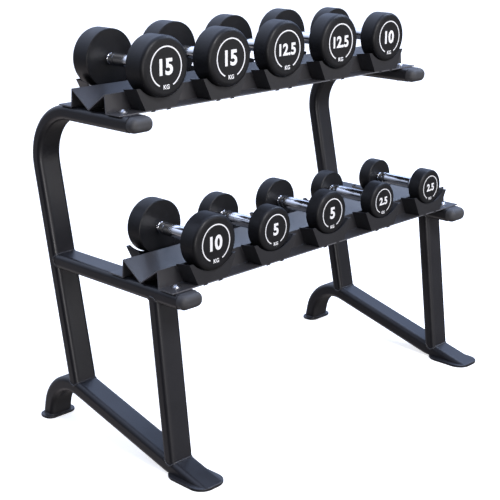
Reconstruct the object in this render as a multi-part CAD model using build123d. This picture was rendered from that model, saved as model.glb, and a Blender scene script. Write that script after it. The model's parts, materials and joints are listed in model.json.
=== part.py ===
"""Two-tier dumbbell rack with ten round dumbbells.

X runs along the trays, -Y is the front, +Z is up. The origin is on the floor, under the middle.
Every sub-part is written to parts/NAME.step in millimetres, in place.
"""
from build123d import *
import math
import os

# ---- driving dimensions ------------------------------------------------------------------
frame_spacing = 1080.0        # centre to centre of the two side frames
tube_width = 70.0             # along X
tube_depth = 38.0
base_depth = 42.0             # the base tube is a little deeper than the others
tube_corner = 13.0
tube_wall = 2.5

pad_thickness = 2.0
plate_thickness = 5.0
plate_width = 98.0
plate_edge_rounding = 1.2
front_plate = (-324.0, -184.0, 38.0)   # front end, rear end, corner radius
rear_plate = (272.0, 324.0, 23.0)
pad_inset = 1.5               # the rubber pad stays inside the plate's outline

base_slope = 15.0             # degrees, rising to the rear
base_top_at_upright = (159.8, 136.1)   # (y, z) on the base tube's top face, under the upright
arch_radius = 102.0           # centre line of the rear arch
arch_foot_y = 300.0           # centre of the arch tube where it meets the rear foot plate
arch_foot_lean = 11.4         # degrees off vertical, foot to the rear

upright_lean = 11.6           # degrees off vertical, top to the rear
upright_at = (186.8, 160.5)   # (y, z) on the upright's centre line
upright_bend = 130.0          # centre line radius where the upright turns into the top arm

leg_lean = 6.7                # degrees off vertical, top to the rear
leg_at = (-183.4, 108.0)      # (y, z) on the front leg's centre line

upper_arm_front_y = -65.5
lower_arm_front_y = -230.0
cap_length = 26.0
cap_corner = 17.5             # corner radius of the cap's outline, rounder than the tube
cap_rounding = 16.0           # of its front edge
cap_plug_length = 18.0
plug_clearance = 0.2

tray_length = 1152.0
tray_sheet = 3.0
tray_half_depth = 116.0       # flange tip from the tray's centre line
tray_wall_y = 67.3            # foot of the walls
tray_ridge_y = 63.7
tray_ridge_height = 45.6
tray_valley_height = 1.0
tray_bend = 1.35              # rounding of the bends
upper_tray = (72.3, 878.3)    # (y of the centre line, z of the flange's top face)
lower_tray = (-105.6, 479.8)

saddle_pitch = 220.0
saddle_middle_x = -3.0        # the middle cradle sits a little left of the middle
saddle_sheet = 3.0
saddle_height = 56.0
saddle_top_half = 78.0
saddle_bottom_half = 50.0
saddle_arc_radius = 93.0
saddle_arc_bottom = 28.0      # lowest point of the cradle above the flange
saddle_wing_out = 4.0         # how far each wing spreads towards the tray wall
saddle_wing_drop = 7.0        # degrees; the wing's top edge falls towards the wall
saddle_wall_gap = 1.5
saddle_tab_x = 25.0
saddle_tab = (12.0, 2.2)      # width, depth below the flange
saddle_slot_gap = 0.4

bolt_diameter = 8.0
bolt_clearance = 0.4
bolt_front_y = -88.0          # from the tray's centre line
bolt_rear_y = 90.0
bolt_head = (20.0, 6.0)       # diameter, height
bolt_socket = (3.4, 3.0)      # corner radius, depth of the hexagon socket
washer_size = (22.0, 2.0)
nut_across_flats = 13.0
nut_height = 4.0

rest_gap = 0.3                # between a head and its saddles
grip_space = 146.0            # between the two heads
grip_diameter = 33.0
grip_length = 124.0
grip_bevel = 1.5
shank_diameter = 24.0
collar_size = (29.0, 4.0)     # diameter, length
collar_bevel = 0.8
head_inner_bevel = 1.5
shank_depth_share = 0.55      # of the head's thickness

# kilograms: head diameter, head thickness, outer rounding, rubber cover thickness
head_sizes = {
    15.0: (151.0, 63.0, 12.0, 4.5),
    12.5: (151.0, 54.5, 12.0, 5.0),
    10.0: (139.0, 53.0, 11.0, 5.5),
    5.0: (117.0, 43.5, 10.0, 7.8),
    2.5: (102.0, 41.5, 8.0, 13.5),
}
rows = {
    "top": (upper_tray, (15.0, 15.0, 12.5, 12.5, 10.0)),
    "bottom": (lower_tray, (10.0, 5.0, 5.0, 2.5, 2.5)),
}

# ---- worked-out dimensions ---------------------------------------------------------------
floor_z = pad_thickness + plate_thickness
upper_arm_z = upper_tray[1] - tray_sheet - tube_depth / 2
lower_arm_z = lower_tray[1] - tray_sheet - tube_depth / 2
side_x = {"left": -frame_spacing / 2, "right": frame_spacing / 2}
saddle_x = [saddle_middle_x + (i - 2) * saddle_pitch for i in range(5)]
beyond = 600.0                # reach of a cutting block past everything it trims


def save(shape, name):
    """Write one sub-part in place, as a flat group of its solids."""
    shape = Compound(children=list(shape.solids())) if len(shape.solids()) > 1 else shape.solids()[0]
    shape.label = name
    export_step(shape, f"parts/{name}.step")


def side_plane(x, y, z, direction):
    """Plane across a tube at (x, y, z) whose normal is the (y, z) direction; its local x is X."""
    return Plane(origin=(x, y, z), x_dir=(1, 0, 0), z_dir=(0, direction[0], direction[1]))


def section(width, depth, corner, inset=0.0):
    """Rounded rectangle of the tube's outside, or of its inside when inset by the wall."""
    return RectangleRounded(width - 2 * inset, depth - 2 * inset, corner - inset)


def tube_along(path, depth, inset=0.0):
    """Solid of the tube's outline swept along a path in the side plane."""
    start = path @ 0
    heading = path % 0
    plane = side_plane(start.X, start.Y, start.Z, (heading.Y, heading.Z))
    return sweep(plane * section(tube_width, depth, tube_corner, inset), path=path)


def side_point(x, yz):
    return Vector(x, yz[0], yz[1])


def lean_line(at, lean, z):
    """(y, z) on a line that passes through `at` and leans `lean` degrees to the rear."""
    return (at[0] + (z - at[1]) * math.tan(math.radians(lean)), z)


def bent_path(x, points, radius):
    """Straight runs through three (y, z) points with one arc at the middle one."""
    return FilletPolyline(*[side_point(x, p) for p in points], radius=radius)


def cross(at_a, angle_a, at_b, angle_b):
    """(y, z) where two lines meet; each has a point and an angle from +Y, in degrees."""
    ca, sa = math.cos(math.radians(angle_a)), math.sin(math.radians(angle_a))
    cb, sb = math.cos(math.radians(angle_b)), math.sin(math.radians(angle_b))
    along = ((at_b[0] - at_a[0]) * sb - (at_b[1] - at_a[1]) * cb) / (ca * sb - sa * cb)
    return (at_a[0] + along * ca, at_a[1] + along * sa)


# ---- tube routes in the side plane -------------------------------------------------------
slope = math.radians(base_slope)
base_centre = (base_top_at_upright[0] + math.sin(slope) * base_depth / 2,
               base_top_at_upright[1] - math.cos(slope) * base_depth / 2)
arch_foot = (arch_foot_y, floor_z)
arch_corner = cross(base_centre, base_slope, arch_foot, 90.0 + arch_foot_lean)
base_front = (base_centre[0] - beyond * math.cos(slope), base_centre[1] - beyond * math.sin(slope))
below_floor = 30.0
arch_end = (arch_foot[0] + below_floor * math.sin(math.radians(arch_foot_lean)), floor_z - below_floor)
upright_corner = lean_line(upright_at, upright_lean, upper_arm_z)
upright_start_z = 90.0        # the tubes start inside the one below and are trimmed to it
leg_start_z = 10.0
lower_arm_rear_y = 250.0


def base_path(x):
    return bent_path(x, [base_front, arch_corner, arch_end], arch_radius)


def upright_path(x):
    foot = lean_line(upright_at, upright_lean, upright_start_z)
    return bent_path(x, [foot, upright_corner, (upper_arm_front_y, upper_arm_z)], upright_bend)


def lower_arm_path(x):
    return Line(side_point(x, (lower_arm_rear_y, lower_arm_z)),
                side_point(x, (lower_arm_front_y, lower_arm_z)))


def leg_path(x):
    return Line(side_point(x, lean_line(leg_at, leg_lean, leg_start_z)),
                side_point(x, lean_line(leg_at, leg_lean, lower_arm_z)))


def above_floor_plates():
    """Everything above the top faces of the foot plates."""
    return Pos(0, 0, floor_z + beyond) * Box(4 * beyond, 4 * beyond, 2 * beyond)


def bolt_places(x):
    """(x, y, z) of each tray bolt on one side frame, at the flange's top face."""
    return [(x, tray[0] + y, tray[1]) for tray in (upper_tray, lower_tray)
            for y in (bolt_front_y, bolt_rear_y)]


def bolt_holes(x):
    drill = Cylinder((bolt_diameter + bolt_clearance) / 2, 3 * tube_depth)
    return [Pos(*place) * drill for place in bolt_places(x)]


# ---- side frames -------------------------------------------------------------------------
def foot_outline(x, plate, z, thickness, inset=0.0):
    """Flat block with the foot plate's rounded outline."""
    front, rear, corner = plate
    outline = RectangleRounded(plate_width - 2 * inset, rear - front - 2 * inset, corner - inset)
    return Pos(x, (front + rear) / 2, z) * extrude(outline, thickness)


def foot_plate(x, plate):
    block = foot_outline(x, plate, pad_thickness, plate_thickness)
    return fillet(block.faces().sort_by(Axis.Z)[-1].edges(), plate_edge_rounding)


def arm_cap(x, front_y, arm_z):
    """Pill-shaped plastic end cap with a plug that fills the tube's mouth."""
    face = side_plane(x, front_y, arm_z, (-1, 0))
    dome = extrude(face * section(tube_width, tube_depth, cap_corner), cap_length)
    dome = fillet(dome.faces().sort_by(Axis.Y)[0].edges(), cap_rounding)
    plug_section = section(tube_width, tube_depth, tube_corner, tube_wall + plug_clearance)
    plug = extrude(face * plug_section, -cap_plug_length)
    return dome + plug


def side_frame(side):
    x = side_x[side]
    base_solid = tube_along(base_path(x), base_depth)
    upright_solid = tube_along(upright_path(x), tube_depth)
    arm_solid = tube_along(lower_arm_path(x), tube_depth)

    base = (base_solid - tube_along(base_path(x), base_depth, tube_wall)) & above_floor_plates()
    upright = upright_solid - tube_along(upright_path(x), tube_depth, tube_wall) - base_solid
    upright = upright.solids().sort_by(Axis.Z)[-1] - bolt_holes(x)
    arm = arm_solid - tube_along(lower_arm_path(x), tube_depth, tube_wall) - upright_solid
    arm = arm.solids().sort_by(Axis.Y)[0] - bolt_holes(x)
    leg = tube_along(leg_path(x), tube_depth) - tube_along(leg_path(x), tube_depth, tube_wall)
    leg = (leg - base_solid - arm_solid).solids().sort_by(SortBy.VOLUME)[-1]

    save(base, f"{side}_base_tube")
    save(upright, f"{side}_rear_upright")
    save(arm, f"{side}_lower_arm")
    save(leg, f"{side}_front_leg")
    save(arm_cap(x, upper_arm_front_y, upper_arm_z), f"{side}_upper_arm_cap")
    save(arm_cap(x, lower_arm_front_y, lower_arm_z), f"{side}_lower_arm_cap")
    for place, plate in (("front", front_plate), ("rear", rear_plate)):
        save(foot_plate(x, plate), f"{side}_{place}_foot_plate")
        save(foot_outline(x, plate, 0.0, pad_thickness, pad_inset), f"{side}_{place}_foot_pad")


# ---- trays and saddles -------------------------------------------------------------------
def offset_polyline(points, distance):
    """Points moved square to the line by distance, with mitred corners."""
    moved = []
    for i, (px, py) in enumerate(points):
        normals = []
        for a, b in ((i - 1, i), (i, i + 1)):
            if a < 0 or b >= len(points):
                continue
            dx, dy = points[b][0] - points[a][0], points[b][1] - points[a][1]
            size = math.hypot(dx, dy)
            normals.append((dy / size, -dx / size))
        nx = sum(n[0] for n in normals) / len(normals)
        ny = sum(n[1] for n in normals) / len(normals)
        scale = distance / (nx * nx + ny * ny)
        moved.append((px + nx * scale, py + ny * scale))
    return moved


def tray(centre_y, flange_z):
    """Bent sheet: flange, wall, ridge, valley, ridge, wall, flange."""
    top_line = [(-tray_half_depth, 0), (-tray_wall_y, 0), (-tray_ridge_y, tray_ridge_height),
                (0, tray_valley_height), (tray_ridge_y, tray_ridge_height), (tray_wall_y, 0),
                (tray_half_depth, 0)]
    under_line = offset_polyline(top_line, tray_sheet)
    outline = make_face(Polyline(*top_line, *reversed(under_line), close=True))
    plane = Plane(origin=(-tray_length / 2, centre_y, flange_z), x_dir=(0, 1, 0), z_dir=(1, 0, 0))
    sheet = extrude(plane * outline, tray_length)
    bends = sheet.edges().filter_by(Axis.X).filter_by(
        lambda e: abs(e.center().Y - centre_y) < tray_half_depth - 1)
    sheet = fillet(bends, tray_bend)
    for x in side_x.values():
        sheet = sheet - bolt_holes(x)
    slot = Box(saddle_tab[0] + saddle_slot_gap, saddle_sheet + saddle_slot_gap, 4 * tray_sheet)
    slots = [Pos(x + side * saddle_tab_x, centre_y + end * (tray_half_depth - saddle_sheet / 2), flange_z)
             * slot for x in saddle_x for side in (-1, 1) for end in (-1, 1)]
    return sheet - slots


def saddle(x, centre_y, flange_z, end):
    """Cradle plate on the flange's edge with a wing each side back to the wall. end: -1 front, 1 rear."""
    plate_y = -tray_half_depth
    wall_y = -tray_wall_y - saddle_wall_gap
    cradle_z = saddle_arc_bottom + saddle_arc_radius
    flare = saddle_top_half - saddle_bottom_half
    plate_outline = Polygon((-saddle_bottom_half, 0), (saddle_bottom_half, 0),
                            (saddle_top_half, saddle_height), (-saddle_top_half, saddle_height), align=None)
    plane = Plane(origin=(0, plate_y, 0), x_dir=(1, 0, 0), z_dir=(0, -1, 0))
    plate = extrude(plane * plate_outline, -saddle_sheet)
    plate -= Pos(0, plate_y, cradle_z) * Rot(90, 0, 0) * Cylinder(saddle_arc_radius, 4 * saddle_sheet)
    wing_foot = Polygon((-saddle_bottom_half, plate_y), (-saddle_bottom_half + saddle_sheet, plate_y),
                        (-saddle_bottom_half - saddle_wing_out + saddle_sheet, wall_y),
                        (-saddle_bottom_half - saddle_wing_out, wall_y), align=None)
    wing_top = Pos(-flare, 0, saddle_height) * wing_foot
    wing = loft([wing_foot.face(), wing_top.face()])
    top_edge = Pos(0, plate_y + saddle_sheet, saddle_height) * Rot(-saddle_wing_drop, 0, 0)
    wing -= top_edge * Pos(0, 0, beyond / 2) * Box(beyond, beyond, beyond)
    shape = plate + wing + mirror(wing, Plane.YZ)
    for side in (-1, 1):
        tab_y = plate_y + saddle_sheet / 2
        depth = tray_sheet + saddle_tab[1]
        shape += Pos(side * saddle_tab_x, tab_y, -depth / 2) * Box(saddle_tab[0], saddle_sheet, depth)
    if end > 0:
        shape = mirror(shape, Plane.XZ)
    return Pos(x, centre_y, flange_z) * shape


# ---- fasteners ---------------------------------------------------------------------------
def bolt(x, y, flange_z):
    """Dome-head bolt through the flange and the whole arm, with its head on a washer."""
    head_radius = bolt_head[0] / 2
    head_z = flange_z + washer_size[1]
    sphere_radius = (head_radius ** 2 + bolt_head[1] ** 2) / (2 * bolt_head[1])
    dome = Pos(x, y, head_z + bolt_head[1] - sphere_radius) * Sphere(sphere_radius)
    above_washer = Box(*[bolt_head[0]] * 3, align=(Align.CENTER, Align.CENTER, Align.MIN))
    dome = dome & (Pos(x, y, head_z) * above_washer)
    socket = extrude(RegularPolygon(bolt_socket[0], 6), bolt_socket[1], both=True)
    dome = dome - Pos(x, y, head_z + bolt_head[1]) * socket
    length = washer_size[1] + tray_sheet + tube_depth + nut_height
    shaft = Pos(x, y, head_z - length / 2) * Cylinder(bolt_diameter / 2, length)
    return dome + shaft


def washer(x, y, z):
    ring = Circle(washer_size[0] / 2) - Circle((bolt_diameter + bolt_clearance) / 2)
    return Pos(x, y, z) * extrude(ring, washer_size[1])


def nut(x, y, z):
    outline = RegularPolygon(nut_across_flats / 2, 6, major_radius=False) - Circle(bolt_diameter / 2)
    return Pos(x, y, z) * extrude(outline, nut_height)


def fasteners():
    places = [place for x in side_x.values() for place in bolt_places(x)]
    nut_drop = tray_sheet + tube_depth + nut_height
    save(Compound(children=[bolt(*place) for place in places]), "tray_bolts")
    save(Compound(children=[washer(*place) for place in places]), "tray_washers")
    save(Compound(children=[nut(x, y, z - nut_drop) for x, y, z in places]), "tray_nuts")


# ---- dumbbells ---------------------------------------------------------------------------
def turned(profile):
    """Solid turned about the dumbbell's own axis from (radius, distance) points."""
    face = make_face(Polyline(*[(r, s) for r, s in profile], close=True))
    plane = Plane(origin=(0, 0, 0), x_dir=(0, 0, 1), z_dir=(1, 0, 0))
    return revolve(plane * face, Axis.Y)


def both_ends(shape):
    """The shape at the front end and its mirror image at the rear end, as separate solids."""
    return Compound(children=[shape, mirror(shape, Plane.XZ)])


def shank_depth(kilograms):
    return head_sizes[kilograms][1] * shank_depth_share


def handle(kilograms):
    """Grip, narrower shank and bright collar at each head, turned in one piece."""
    grip, shank = grip_diameter / 2, shank_diameter / 2
    collar = collar_size[0] / 2
    inner = grip_space / 2
    end = inner + shank_depth(kilograms)
    half = [(0, 0), (grip, 0), (grip, grip_length / 2 - grip_bevel), (grip - grip_bevel, grip_length / 2),
            (shank, grip_length / 2), (shank, inner - collar_size[1]),
            (collar - collar_bevel, inner - collar_size[1]), (collar, inner - collar_size[1] + collar_bevel),
            (collar, inner), (shank, inner), (shank, end), (0, end)]
    one = turned(half)
    return one + mirror(one, Plane.XZ)


def head_parts(kilograms):
    """Rubber cover and steel core of one head; the shank ends in a blind bore."""
    diameter, thickness, rounding, cover = head_sizes[kilograms]
    radius, start = diameter / 2, grip_space / 2
    plane = Plane(origin=(0, start, 0), x_dir=(1, 0, 0), z_dir=(0, 1, 0))
    outer = extrude(plane * Circle(radius), thickness)
    outer = fillet(outer.edges().sort_by(Axis.Y)[-1], rounding)
    outer = chamfer(outer.edges().sort_by(Axis.Y)[0], head_inner_bevel)
    inside = Plane(origin=(0, start + cover, 0), x_dir=(1, 0, 0), z_dir=(0, 1, 0))
    core = extrude(inside * Circle(radius - cover), thickness - 2 * cover)
    bore = extrude(plane * Circle(shank_diameter / 2), shank_depth(kilograms))
    return outer - core - bore, core - bore


def rest_height(kilograms):
    """Axis above the flange; a thin head has only its rounding on the saddle plate and sits lower."""
    diameter, thickness, rounding, _ = head_sizes[kilograms]
    past_plate = grip_space / 2 + thickness - (tray_half_depth - saddle_sheet)
    short = max(rounding - past_plate, 0.0)
    sinks = rounding - math.sqrt(rounding ** 2 - short ** 2)
    return saddle_arc_bottom + rest_gap + diameter / 2 - sinks


def dumbbell(name, kilograms, x, centre_y, flange_z):
    cover, core = head_parts(kilograms)
    place = Pos(x, centre_y, flange_z + rest_height(kilograms))
    save(place * handle(kilograms), f"{name}_handle")
    save(place * both_ends(cover), f"{name}_head_covers")
    save(place * both_ends(core), f"{name}_head_cores")


# ---- everything --------------------------------------------------------------------------
os.makedirs("parts", exist_ok=True)

for side in side_x:
    side_frame(side)

for level, (centre_y, flange_z) in (("upper", upper_tray), ("lower", lower_tray)):
    save(tray(centre_y, flange_z), f"{level}_tray")
    for end, place in ((-1, "front"), (1, "rear")):
        group = [saddle(x, centre_y, flange_z, end) for x in saddle_x]
        save(Compound(children=group), f"{level}_{place}_saddles")

fasteners()

for row, ((centre_y, flange_z), weights) in rows.items():
    for number, (x, kilograms) in enumerate(zip(saddle_x, weights), 1):
        dumbbell(f"{row}_dumbbell_{number}", kilograms, x, centre_y, flange_z)
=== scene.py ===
"""Looks of the two-tier dumbbell rack and its ten round dumbbells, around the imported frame.

Metres, +X along the trays, -Y the front, +Z up. The tubes, trays, saddles, caps, fasteners and rubber
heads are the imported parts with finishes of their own. Weld beads, prints and handles are made here and
ride on the same bodies.
"""
import json
import math

import bmesh
import bpy
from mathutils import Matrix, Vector
from mathutils.bvhtree import BVHTree


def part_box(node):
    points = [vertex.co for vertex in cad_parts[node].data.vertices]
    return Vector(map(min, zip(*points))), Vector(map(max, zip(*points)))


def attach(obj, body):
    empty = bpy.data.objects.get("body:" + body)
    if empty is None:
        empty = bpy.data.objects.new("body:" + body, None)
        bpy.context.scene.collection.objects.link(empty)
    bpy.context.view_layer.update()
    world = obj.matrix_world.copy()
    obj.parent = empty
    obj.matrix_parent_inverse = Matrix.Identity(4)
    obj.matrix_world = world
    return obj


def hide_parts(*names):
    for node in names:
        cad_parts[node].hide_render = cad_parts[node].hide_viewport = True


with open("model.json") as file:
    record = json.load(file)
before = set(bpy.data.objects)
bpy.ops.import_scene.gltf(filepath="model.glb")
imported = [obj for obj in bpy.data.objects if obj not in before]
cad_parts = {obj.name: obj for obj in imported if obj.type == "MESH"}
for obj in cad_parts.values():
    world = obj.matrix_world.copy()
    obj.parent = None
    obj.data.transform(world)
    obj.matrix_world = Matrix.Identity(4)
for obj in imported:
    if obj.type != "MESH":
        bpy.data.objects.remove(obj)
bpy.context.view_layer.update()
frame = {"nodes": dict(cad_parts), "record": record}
nodes = frame["nodes"]
bodies = frame["record"]["behaviour"]["bodies"]
dumbbells = [name for name in bodies if name != "rack"]

# ---- sizes -------------------------------------------------------------------------------
MM = 0.001
weights = dict(zip(dumbbells, ("15", "15", "12.5", "12.5", "10", "10", "5", "5", "2.5", "2.5")))

grip_half = 62.0 * MM
grip_radius = 16.5 * MM
grip_bevel = 1.5 * MM
shank_radius = 12.0 * MM
collar_radius = 14.5 * MM
collar_length = 4.0 * MM
collar_lip = 0.8 * MM
collar_end_bevel = 0.2 * MM
shank_shoulder = 1.0 * MM
shank_fillet = 0.6 * MM
head_start = 73.0 * MM
knurl_band = (20.0 * MM, 42.0 * MM)    # each half of the grip has one band of crossing grooves
knurl_depth = 0.12 * MM
knurl_land = 0.84               # share of the pitch left smooth between two grooves
knurl_around = 22
knurl_fade = 0.5 * MM           # over which the grooves run out at both ends of a band
groove_at = 48.0 * MM
groove_depth = 0.25 * MM
groove_half_width = 0.9 * MM

bead_radius = 2.1 * MM
plate_bead_radius = 1.8 * MM
bead_pitch = 4.2 * MM
bead_step = 1.0 * MM
bead_ripple = 0.13              # shares of the bead's radius
bead_waver = 0.05
bead_waver_rate = 710.0         # radians a metre, out of step with the ripples

print_thickness = 0.25 * MM
print_sink = 0.05 * MM          # into the head, so that no gap shows
ring_outer = 0.675              # shares of the head's radius
ring_width = 0.045
ring_gap = 52.0                 # degrees, at the bottom
ring_steps = 96
number_height = 0.54
long_number_share = 0.8         # numbers of more than two characters are this much smaller
number_boldness = 0.035         # how far the outlines are thickened, for a height of 1
unit_height = 0.15
unit_height_at = -0.64
unit_boldness = 0.03

camera_at = (-2.3654, -2.2071, 1.4029)
camera_azimuth = 45.53          # degrees, from +Y towards +X
camera_drop = 15.44             # degrees below level
focal_length = 86.67            # millimetres, on a sensor 36 wide
sensor_width = 36.0
frame_shift = (0.0148, -0.066)  # shares of the picture's width

light_target = (0, 0, 0.6)
warm_white = (1.0, 0.98, 0.98)
cool_white = (0.62, 0.74, 1.0)


# ---- node helpers ------------------------------------------------------------------------
def new_material(name):
    material = bpy.data.materials.new(name)
    material.use_nodes = True
    tree = material.node_tree
    return material, tree, tree.nodes["Principled BSDF"]


def place_coordinates(tree, stretch=(1, 1, 1)):
    """Coordinates in metres that stay with the piece."""
    source = tree.nodes.new("ShaderNodeTexCoord")
    mapping = tree.nodes.new("ShaderNodeMapping")
    mapping.inputs["Scale"].default_value = stretch
    tree.links.new(source.outputs["Object"], mapping.inputs["Vector"])
    return mapping.outputs["Vector"]


def noise(tree, vector, scale, detail=2.0, roughness=0.5):
    node = tree.nodes.new("ShaderNodeTexNoise")
    node.inputs["Scale"].default_value = scale
    node.inputs["Detail"].default_value = detail
    node.inputs["Roughness"].default_value = roughness
    tree.links.new(vector, node.inputs["Vector"])
    return node.outputs["Fac"]


def spread(tree, value, low, high, start=0.3, end=0.7):
    """value from start..end mapped to low..high."""
    node = tree.nodes.new("ShaderNodeMapRange")
    node.inputs["From Min"].default_value = start
    node.inputs["From Max"].default_value = end
    node.inputs["To Min"].default_value = low
    node.inputs["To Max"].default_value = high
    tree.links.new(value, node.inputs["Value"])
    return node.outputs["Result"]


def mix_colour(tree, share, first, second):
    """first and second are colours or sockets."""
    node = tree.nodes.new("ShaderNodeMix")
    node.data_type = "RGBA"
    tree.links.new(share, node.inputs["Factor"])
    for value, socket in ((first, node.inputs[6]), (second, node.inputs[7])):
        if isinstance(value, bpy.types.NodeSocket):
            tree.links.new(value, socket)
        else:
            socket.default_value = (*value, 1.0)
    return node.outputs[2]


def combine(tree, first, second, operation="ADD"):
    node = tree.nodes.new("ShaderNodeMath")
    node.operation = operation
    for value, socket in ((first, node.inputs[0]), (second, node.inputs[1])):
        if isinstance(value, bpy.types.NodeSocket):
            tree.links.new(value, socket)
        else:
            socket.default_value = value
    return node.outputs[0]


def bump(tree, shader, height, distance):
    node = tree.nodes.new("ShaderNodeBump")
    node.inputs["Distance"].default_value = distance
    tree.links.new(height, node.inputs["Height"])
    tree.links.new(node.outputs["Normal"], shader.inputs["Normal"])


# ---- finishes ----------------------------------------------------------------------------
def powder_coat(name, dark, light, rough, painted_edge_highlight=None):
    """Satin powder coat: fine orange peel, faint cloudy sheen and pin-prick speckle, and, where a colour for
    them is given, a painted highlight on the cut ends and lips: the faces that look straight along X or Y
    are painted lighter.
    """
    material, tree, shader = new_material(name)
    where = place_coordinates(tree)
    cloud = noise(tree, where, 9.0, 4.0)
    speckle = noise(tree, where, 1500.0, 1.0)
    share = combine(tree, spread(tree, cloud, 0.0, 0.6), spread(tree, speckle, 0.0, 0.4))
    colour = mix_colour(tree, share, dark, light)
    # painted highlight: faces looking straight along X (the cut ends) or Y (the lips) get a lighter colour,
    # standing for the light lines on the sheet's edges
    if painted_edge_highlight:
        facing = tree.nodes.new("ShaderNodeNewGeometry")
        split = tree.nodes.new("ShaderNodeSeparateXYZ")
        tree.links.new(facing.outputs["True Normal"], split.inputs["Vector"])
        ends = spread(tree, combine(tree, split.outputs["X"], 0.0, "ABSOLUTE"), 0.0, 1.0, 0.97, 0.99)
        lips = spread(tree, combine(tree, split.outputs["Y"], 0.0, "ABSOLUTE"), 0.0, 1.0, 0.9985, 0.9995)
        colour = mix_colour(tree, combine(tree, ends, lips, "MAXIMUM"), colour, painted_edge_highlight)
    tree.links.new(colour, shader.inputs["Base Color"])
    tree.links.new(spread(tree, cloud, rough - 0.04, rough + 0.06), shader.inputs["Roughness"])
    peel = combine(tree, noise(tree, where, 420.0, 2.0), spread(tree, speckle, 0.0, 0.35))
    bump(tree, shader, peel, 0.00006)
    return material


def moulded_plastic(name):
    """Cap plastic: matte spark-eroded grain."""
    material, tree, shader = new_material(name)
    where = place_coordinates(tree)
    grain = noise(tree, where, 1800.0, 3.0, 0.6)
    cloud = noise(tree, where, 25.0, 3.0)
    colour = mix_colour(tree, spread(tree, cloud, 0.0, 1.0), (0.058, 0.058, 0.061), (0.080, 0.080, 0.083))
    tree.links.new(colour, shader.inputs["Base Color"])
    tree.links.new(spread(tree, grain, 0.50, 0.66), shader.inputs["Roughness"])
    bump(tree, shader, grain, 0.00012)
    return material


def rubber(name, dark, light, low_rough, high_rough):
    """Moulded rubber: fine grain, faint mottling and dusty sheen."""
    material, tree, shader = new_material(name)
    where = place_coordinates(tree)
    mottle = noise(tree, where, 38.0, 5.0, 0.6)
    grain = noise(tree, where, 1300.0, 3.0, 0.6)
    share = combine(tree, spread(tree, mottle, 0.0, 0.7), spread(tree, grain, 0.0, 0.3))
    tree.links.new(mix_colour(tree, share, dark, light), shader.inputs["Base Color"])
    tree.links.new(spread(tree, mottle, low_rough, high_rough), shader.inputs["Roughness"])
    shader.inputs["Specular IOR Level"].default_value = 0.34
    height = combine(tree, grain, spread(tree, mottle, 0.0, 0.8))
    bump(tree, shader, height, 0.00008)
    return material


def polished_metal(name, colour, tint, low_rough, high_rough):
    """Chrome: mirror with faint polishing lines round the bar and light smudges."""
    material, tree, shader = new_material(name)
    where = place_coordinates(tree)
    lines = noise(tree, place_coordinates(tree, (1.0, 60.0, 1.0)), 40.0, 3.0)
    smudge = noise(tree, where, 55.0, 4.0, 0.6)
    tree.links.new(mix_colour(tree, spread(tree, smudge, 0.0, 1.0), colour, tint),
                   shader.inputs["Base Color"])
    shader.inputs["Metallic"].default_value = 1.0
    rough = combine(tree, spread(tree, smudge, low_rough, high_rough), spread(tree, lines, 0.0, 0.04))
    tree.links.new(rough, shader.inputs["Roughness"])
    bump(tree, shader, lines, 0.00001)
    return material


def zinc_plate(name):
    """Bright zinc: faint spangle and turned marks."""
    material, tree, shader = new_material(name)
    where = place_coordinates(tree)
    spangle = noise(tree, where, 260.0, 3.0)
    tree.links.new(mix_colour(tree, spread(tree, spangle, 0.0, 1.0), (0.52, 0.53, 0.56), (0.78, 0.79, 0.81)),
                   shader.inputs["Base Color"])
    shader.inputs["Metallic"].default_value = 1.0
    tree.links.new(spread(tree, spangle, 0.22, 0.38), shader.inputs["Roughness"])
    bump(tree, shader, noise(tree, where, 900.0), 0.00003)
    return material


def print_ink(name):
    """White pad print, a little uneven where the rubber's grain shows through, with a faint painted glow:
    the print gives off light of its own.
    """
    material, tree, shader = new_material(name)
    where = place_coordinates(tree)
    grain = noise(tree, where, 1100.0, 3.0, 0.6)
    tree.links.new(mix_colour(tree, spread(tree, grain, 0.0, 1.0), (0.86, 0.86, 0.87), (0.96, 0.96, 0.96)),
                   shader.inputs["Base Color"])
    # painted glow: emission keeps the print bright whatever light falls on it
    shader.inputs["Emission Color"].default_value = (1, 1, 1, 1)
    shader.inputs["Emission Strength"].default_value = 0.22
    tree.links.new(spread(tree, grain, 0.45, 0.6), shader.inputs["Roughness"])
    bump(tree, shader, grain, 0.00005)
    return material


frame_paint = powder_coat("frame_paint", (0.017, 0.017, 0.020), (0.024, 0.024, 0.028), 0.34)
# tray_paint and saddle_paint stand for one coat: tray_paint is painted lighter to brighten the trays' shaded
# walls and flanges, and saddle_paint is painted darker, painted shade on the saddle plates, so that the two
# look alike
tray_paint = powder_coat("tray_paint", (0.048, 0.047, 0.050), (0.060, 0.059, 0.063), 0.36,
                         painted_edge_highlight=(0.16, 0.16, 0.17))
saddle_paint = powder_coat("saddle_paint", (0.026, 0.026, 0.029), (0.034, 0.034, 0.037), 0.38)
# painted highlight: the weld beads carry the frame's coat, painted lighter than the frame so that they show
# as light lines along the joints
bead_highlight_paint = powder_coat("bead_highlight_paint", (0.050, 0.050, 0.055), (0.070, 0.070, 0.076), 0.22)
cap_plastic = moulded_plastic("cap_plastic")
head_rubber = rubber("head_rubber", (0.008, 0.008, 0.009), (0.014, 0.014, 0.016), 0.36, 0.48)
foot_rubber = rubber("foot_rubber", (0.010, 0.010, 0.010), (0.018, 0.018, 0.018), 0.60, 0.75)
chrome = polished_metal("handle_chrome", (0.90, 0.91, 0.94), (0.80, 0.82, 0.86), 0.06, 0.12)
zinc = zinc_plate("zinc_plate")
ink = print_ink("print_ink")

finishes = {
    "frame_paint": frame_paint, "tray_paint": tray_paint, "saddle_paint": saddle_paint,
    "cap_plastic": cap_plastic, "foot_rubber": foot_rubber, "zinc": zinc,
    "handle_chrome": chrome, "head_rubber": head_rubber, "core_steel": zinc,
}


def paint(piece, material):
    piece.data.materials.clear()
    piece.data.materials.append(material)


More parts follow.
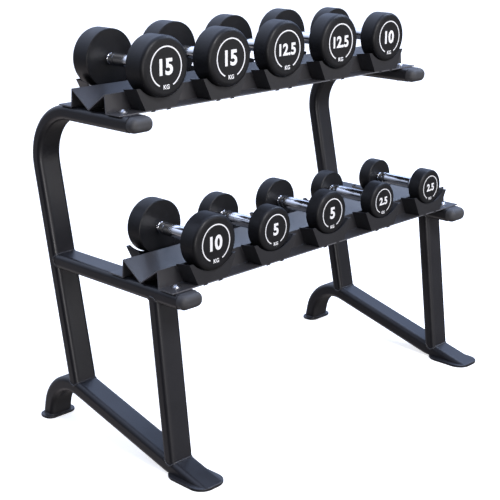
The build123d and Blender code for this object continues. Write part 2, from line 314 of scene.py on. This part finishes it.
for subpart in frame["record"]["subparts"]:
    paint(nodes[subpart["node"]], finishes[subpart["material_slot"]])


# ---- mesh helpers ------------------------------------------------------------------------
def new_piece(name, mesh, material, body, at=(0, 0, 0)):
    piece = bpy.data.objects.new(name, mesh)
    bpy.context.scene.collection.objects.link(piece)
    if not mesh.materials:
        mesh.materials.append(material)
    piece.location = at
    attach(piece, body)
    return piece


def mesh_from(name, points, faces, smooth=True):
    mesh = bpy.data.meshes.new(name)
    mesh.from_pydata(points, [], faces)
    mesh.polygons.foreach_set("use_smooth", [smooth] * len(mesh.polygons))
    return mesh


def surface_of(node):
    mesh = nodes[node].data
    return BVHTree.FromPolygons([v.co for v in mesh.vertices], [p.vertices for p in mesh.polygons])


def seam(node, other, reach=0.4 * MM, corner=math.radians(25)):
    """The longest closed line of node's sharp edges that lies on the other node's surface."""
    surface = surface_of(other)
    work = bmesh.new()
    work.from_mesh(nodes[node].data)
    bmesh.ops.remove_doubles(work, verts=work.verts, dist=0.01 * MM)
    near = {v for v in work.verts if surface.find_nearest(v.co, reach)[0] is not None}
    edges = dict.fromkeys(e for e in work.edges if e.verts[0] in near and e.verts[1] in near
                          and len(e.link_faces) == 2 and e.calc_face_angle(0) > corner)
    best, best_length = [], 0.0
    while edges:
        edge = next(iter(edges))    # in mesh order, so that a bead starts at the same place in every run
        del edges[edge]
        first, tip = edge.verts
        line = [first, tip]
        while tip is not first:
            onward = [e for e in tip.link_edges if e in edges]
            if not onward:
                break
            del edges[onward[0]]
            tip = onward[0].other_vert(tip)
            line.append(tip)
        length = sum((a.co - b.co).length for a, b in zip(line, line[1:]))
        if length > best_length:
            best, best_length = [v.co.copy() for v in line], length
    work.free()
    return best


def even_points(line, step):
    """Points every step along a line."""
    made, left = [line[0]], step
    for a, b in zip(line, line[1:]):
        size = (b - a).length
        while size > 0 and left <= size:
            made.append(a.lerp(b, left / size))
            left += step
        left -= size
    return made


def bead_mesh(name, line, radius=bead_radius, sides=8):
    """Weld bead: a tube with the rounded ripples of a hand weld."""
    middle = even_points(line, bead_step)
    closed = (line[0] - line[-1]).length < bead_step
    count = len(middle)
    points, faces = [], []
    for i, here in enumerate(middle):
        ahead = middle[(i + 1) % count] if closed or i + 1 < count else here
        behind = middle[i - 1] if closed or i else here
        along = (ahead - behind).normalized()
        upright = abs(along.z) > 0.95
        side = (along.orthogonal() if upright else along.cross((0, 0, 1))).normalized()
        over = along.cross(side)
        travel = i * bead_step
        ripple = (1.0 + bead_ripple * math.sin(math.tau * travel / bead_pitch)
                  + bead_waver * math.sin(travel * bead_waver_rate))
        for k in range(sides):
            turn = math.tau * k / sides
            points.append(here + (side * math.cos(turn) + over * math.sin(turn)) * radius * ripple)
    for i in range(count if closed else count - 1):
        a, b = i * sides, ((i + 1) % count) * sides
        for k in range(sides):
            n = (k + 1) % sides
            faces.append((a + k, a + n, b + n, b + k))
    return mesh_from(name, points, faces)


# ---- weld beads --------------------------------------------------------------------------
def weld(name, node, other, radius=bead_radius):
    line = seam(node, other)
    if len(line) > 3:
        new_piece(name, bead_mesh(name, line, radius), bead_highlight_paint, "rack")
    else:
        print("no seam found for", name)


for side in ("left", "right"):
    weld(f"{side}_upright_foot_weld", f"{side}_rear_upright", f"{side}_base_tube")
    weld(f"{side}_leg_foot_weld", f"{side}_front_leg", f"{side}_base_tube")
    weld(f"{side}_leg_top_weld", f"{side}_front_leg", f"{side}_lower_arm")
    weld(f"{side}_arm_weld", f"{side}_lower_arm", f"{side}_rear_upright")
    weld(f"{side}_rear_plate_weld", f"{side}_base_tube", f"{side}_rear_foot_plate", plate_bead_radius)
    weld(f"{side}_front_plate_weld", f"{side}_base_tube", f"{side}_front_foot_plate", plate_bead_radius)


# ---- dumbbell handles --------------------------------------------------------------------
def half_profile():
    """(radius, y) from the outer edge of the knurled band to the head, at +Y."""
    groove = []
    for k in range(7):
        angle = math.pi * k / 6
        groove.append((grip_radius - groove_depth * math.sin(angle),
                       groove_at + groove_half_width * (k / 3 - 1)))
    shoulder = [(grip_radius - grip_bevel * (1 - math.cos(a)), grip_half - grip_bevel * (1 - math.sin(a)))
                for a in (math.radians(t) for t in (0, 18, 36, 54, 72, 90))]
    collar_start = head_start - collar_length
    lip = collar_lip
    collar = [(collar_radius - lip, collar_start), (collar_radius - 0.25 * lip, collar_start + 0.25 * lip),
              (collar_radius, collar_start + lip), (collar_radius, head_start - collar_end_bevel),
              (collar_radius - lip, head_start)]
    return ([(grip_radius, knurl_band[1])] + groove + shoulder
            + [(shank_radius + shank_shoulder, grip_half), (shank_radius, grip_half + shank_shoulder),
               (shank_radius, collar_start - shank_fillet), (shank_radius + shank_fillet, collar_start)]
            + collar + [(shank_radius, head_start)])


def groove_share(along, around):
    """0 on the smooth lands, 1 at the bottom of either set of crossing grooves."""
    deepest = 0.0
    for phase in (along + around, along - around):
        off_middle = abs((phase % 1.0) - 0.5) * 2
        deepest = max(deepest, 1.0 - min(off_middle / (1.0 - knurl_land), 1.0))
    return deepest


def handle_mesh(name, segments=176, rows_per_band=44):
    """Turned handle whose grip has two bands of crossing grooves."""
    points, faces = [], []
    pitch = math.tau * grip_radius / knurl_around

    def ring(radius_at, y):
        points.extend((radius_at(k) * math.cos(math.tau * k / segments), y,
                       radius_at(k) * math.sin(math.tau * k / segments)) for k in range(segments))

    outer = half_profile()
    stations = [(y, lambda k, r=r: r) for r, y in reversed(outer)]
    for j in range(1, rows_per_band):
        y = knurl_band[1] + (knurl_band[0] - knurl_band[1]) * j / rows_per_band
        fade = min(1.0, (y - knurl_band[0]) / knurl_fade, (knurl_band[1] - y) / knurl_fade)
        stations.append((y, lambda k, y=y, fade=fade: grip_radius - fade * knurl_depth * groove_share(
            y / pitch, knurl_around * k / segments)))
    stations.append((knurl_band[0], lambda k: grip_radius))
    for sign, run in ((1, stations), (-1, list(reversed(stations)))):
        for y, radius_at in run:
            ring(radius_at, sign * y)
    for i in range(len(points) // segments - 1):
        for k in range(segments):
            n = (k + 1) % segments
            a, b = i * segments, (i + 1) * segments
            faces.append((a + k, a + n, b + n, b + k))
    return mesh_from(name, points, faces)


shared_handle = handle_mesh("handle")
shared_handle.materials.append(chrome)
axes = {}
for name in dumbbells:
    low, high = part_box(f"{name}_handle")
    axes[name] = (low + high) / 2
    piece = new_piece(f"{name}_turned_handle", shared_handle, chrome, name, axes[name])
    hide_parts(f"{name}_handle")


# ---- prints on the heads -----------------------------------------------------------------
def text_mesh(name, text, height, bold):
    """Flat raised numerals, centred, facing -Y, height tall."""
    curve = bpy.data.curves.new(name, "FONT")
    curve.body = text
    curve.align_x = "CENTER"
    curve.size = 1.0
    curve.offset = bold
    curve.extrude = 0.01
    curve.resolution_u = 6
    source = bpy.data.objects.new(name, curve)
    bpy.context.scene.collection.objects.link(source)
    bpy.context.view_layer.update()
    mesh = bpy.data.meshes.new_from_object(source.evaluated_get(bpy.context.evaluated_depsgraph_get()))
    bpy.data.objects.remove(source)
    bpy.data.curves.remove(curve)
    xs = [v.co.x for v in mesh.vertices]
    ys = [v.co.y for v in mesh.vertices]
    size = height / (max(ys) - min(ys))
    for v in mesh.vertices:
        across = (v.co.x - (max(xs) + min(xs)) / 2) * size
        up = (v.co.y - (max(ys) + min(ys)) / 2) * size
        v.co = (across, -print_thickness if v.co.z > 0 else 0.0, up)
    mesh.materials.clear()
    return mesh


def ring_mesh(name, radius):
    """Flat raised band with a gap at the bottom, facing -Y."""
    outer, inner = ring_outer * radius, (ring_outer - ring_width) * radius
    gap = math.radians(ring_gap)
    steps = ring_steps
    points, faces = [], []
    for k in range(steps + 1):
        turn = -math.pi / 2 + gap / 2 + (math.tau - gap) * k / steps
        for r, y in ((inner, 0), (inner, -print_thickness), (outer, -print_thickness), (outer, 0)):
            points.append((r * math.cos(turn), y, r * math.sin(turn)))
    for k in range(steps):
        a, b = 4 * k, 4 * (k + 1)
        faces += [(a + 1, a + 2, b + 2, b + 1), (a, a + 1, b + 1, b), (a + 2, a + 3, b + 3, b + 2)]
    faces += [(3, 2, 1, 0), (4 * steps, 4 * steps + 1, 4 * steps + 2, 4 * steps + 3)]
    return mesh_from(name, points, faces, smooth=False)


def joined(name, parts):
    """One mesh from (mesh, move up) pairs."""
    work = bmesh.new()
    for mesh, lift in parts:
        before = len(work.verts)
        work.from_mesh(mesh)
        work.verts.ensure_lookup_table()
        for v in work.verts[before:]:
            v.co.z += lift
        bpy.data.meshes.remove(mesh)
    made = bpy.data.meshes.new(name)
    work.to_mesh(made)
    work.free()
    return made


def head_print(kilograms, radius):
    share = long_number_share if len(kilograms) > 2 else 1.0
    number = text_mesh("number", kilograms, number_height * radius * share, number_boldness)
    unit = text_mesh("unit", "KG", unit_height * radius, unit_boldness)
    ring = ring_mesh("ring", radius)
    return joined(f"print_{kilograms}", [(number, 0.0), (unit, unit_height_at * radius), (ring, 0.0)])


prints = {}
for name in dumbbells:
    low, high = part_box(f"{name}_head_covers")
    radius = (high.x - low.x) / 2
    kilograms = weights[name]
    if kilograms not in prints:
        prints[kilograms] = head_print(kilograms, radius)
    for end, y, turn in (("front", low.y + print_sink, 0.0), ("rear", high.y - print_sink, math.pi)):
        piece = bpy.data.objects.new(f"{name}_{end}_print", prints[kilograms])
        bpy.context.scene.collection.objects.link(piece)
        piece.location = (axes[name].x, y, axes[name].z)
        piece.rotation_euler = (0, 0, turn)
        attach(piece, name)
for mesh in prints.values():
    mesh.materials.append(ink)


# ---- floor, light and camera -------------------------------------------------------------
def area_light(name, at, size, power, colour, shine_only=False):
    """A softbox aimed at the middle of the rack. shine_only lights reflections and nothing else."""
    data = bpy.data.lights.new(name, "AREA")
    data.shape = "RECTANGLE"
    data.size, data.size_y = size
    data.energy = power
    data.color = colour
    light = bpy.data.objects.new(name, data)
    bpy.context.scene.collection.objects.link(light)
    light.location = at
    light.rotation_euler = (Vector(light_target) - Vector(at)).to_track_quat("-Z", "Y").to_euler()
    light.visible_diffuse = not shine_only


def pale_floor():
    half = 40.0
    mesh = mesh_from("floor", [(-half, -half, 0), (half, -half, 0), (half, half, 0), (-half, half, 0)],
                     [(0, 1, 2, 3)], smooth=False)
    floor = bpy.data.objects.new("floor", mesh)
    bpy.context.scene.collection.objects.link(floor)
    material, tree, shader = new_material("floor_paint")
    shader.inputs["Base Color"].default_value = (0.9, 0.9, 0.9, 1)
    shader.inputs["Roughness"].default_value = 0.9
    shader.inputs["Specular IOR Level"].default_value = 0.0
    shader.inputs["Emission Color"].default_value = (1, 1, 1, 1)
    shader.inputs["Emission Strength"].default_value = 0.72
    mesh.materials.append(material)
    floor.visible_glossy = False
    floor.visible_diffuse = False


def studio_world():
    """White to the camera. For light, a soft room: brightest and bluish above and behind, grey in front."""
    world = bpy.data.worlds.new("studio")
    bpy.context.scene.world = world
    world.use_nodes = True
    tree = world.node_tree
    tree.nodes.clear()
    where = tree.nodes.new("ShaderNodeTexCoord")
    total = None
    lobes = (  # direction, sharpness, colour
        ((0.50, -0.85, 0.10), 2.5, (0.20, 0.195, 0.21)),
        ((-0.30, -0.95, -0.05), 4.0, (0.52, 0.51, 0.54)),
        ((0.20, 0.10, 0.97), 1.5, (0.28, 0.38, 0.66)),
        ((0.69, 0.42, 0.60), 8.0, (0.36, 0.50, 0.84)),
        ((-0.68, -0.72, 0.05), 16.0, (0.40, 0.39, 0.41)),
        ((0.10, -0.30, -0.95), 1.5, (0.16, 0.155, 0.155)),
        ((0.00, 0.66, 0.75), 2.6, (1.05, 1.15, 1.42)),
        ((-0.12, 0.66, -0.74), 6.0, (0.90, 0.84, 0.88)),
    )
    for direction, sharpness, colour in lobes:
        dot = tree.nodes.new("ShaderNodeVectorMath")
        dot.operation = "DOT_PRODUCT"
        tree.links.new(where.outputs["Generated"], dot.inputs[0])
        dot.inputs[1].default_value = Vector(direction).normalized()
        share = combine(tree, combine(tree, dot.outputs["Value"], 0.0, "MAXIMUM"), sharpness, "POWER")
        scaled = tree.nodes.new("ShaderNodeVectorMath")
        scaled.operation = "SCALE"
        scaled.inputs[0].default_value = colour
        tree.links.new(share, scaled.inputs["Scale"])
        if total is None:
            total = scaled.outputs["Vector"]
        else:
            add = tree.nodes.new("ShaderNodeVectorMath")
            tree.links.new(total, add.inputs[0])
            tree.links.new(scaled.outputs["Vector"], add.inputs[1])
            total = add.outputs["Vector"]
    room = tree.nodes.new("ShaderNodeBackground")
    tree.links.new(total, room.inputs["Color"])
    white = tree.nodes.new("ShaderNodeBackground")
    rays = tree.nodes.new("ShaderNodeLightPath")
    mix = tree.nodes.new("ShaderNodeMixShader")
    white.inputs["Color"].default_value = (1, 1, 1, 1)
    white.inputs["Strength"].default_value = 1.05
    out = tree.nodes.new("ShaderNodeOutputWorld")
    tree.links.new(rays.outputs["Is Camera Ray"], mix.inputs[0])
    tree.links.new(room.outputs[0], mix.inputs[1])
    tree.links.new(white.outputs[0], mix.inputs[2])
    tree.links.new(mix.outputs[0], out.inputs["Surface"])


def camera():
    data = bpy.data.cameras.new("camera")
    data.lens = focal_length
    data.sensor_width = sensor_width
    data.shift_x, data.shift_y = frame_shift
    data.clip_end = 100.0
    eye = bpy.data.objects.new("camera", data)
    bpy.context.scene.collection.objects.link(eye)
    azimuth, drop = math.radians(camera_azimuth), math.radians(camera_drop)
    level = math.cos(drop)
    forward = Vector((math.sin(azimuth) * level, math.cos(azimuth) * level, -math.sin(drop)))
    eye.location = camera_at
    eye.rotation_euler = forward.to_track_quat("-Z", "Y").to_euler()
    bpy.context.scene.camera = eye


pale_floor()
studio_world()
area_light("key_softbox", (-0.6, -3.3, 3.5), (1.5, 1.5), 100.0, warm_white)
area_light("front_softbox", (2.4, -3.7, 1.1), (2.2, 1.8), 16.0, warm_white)
area_light("side_softbox", (2.1, -0.6, 2.8), (1.4, 1.4), 44.0, cool_white)
area_light("corner_strip", (-3.2, -3.1, 1.0), (0.5, 2.0), 42.0, warm_white, shine_only=True)
camera()
bpy.context.scene.view_settings.view_transform = "Standard"
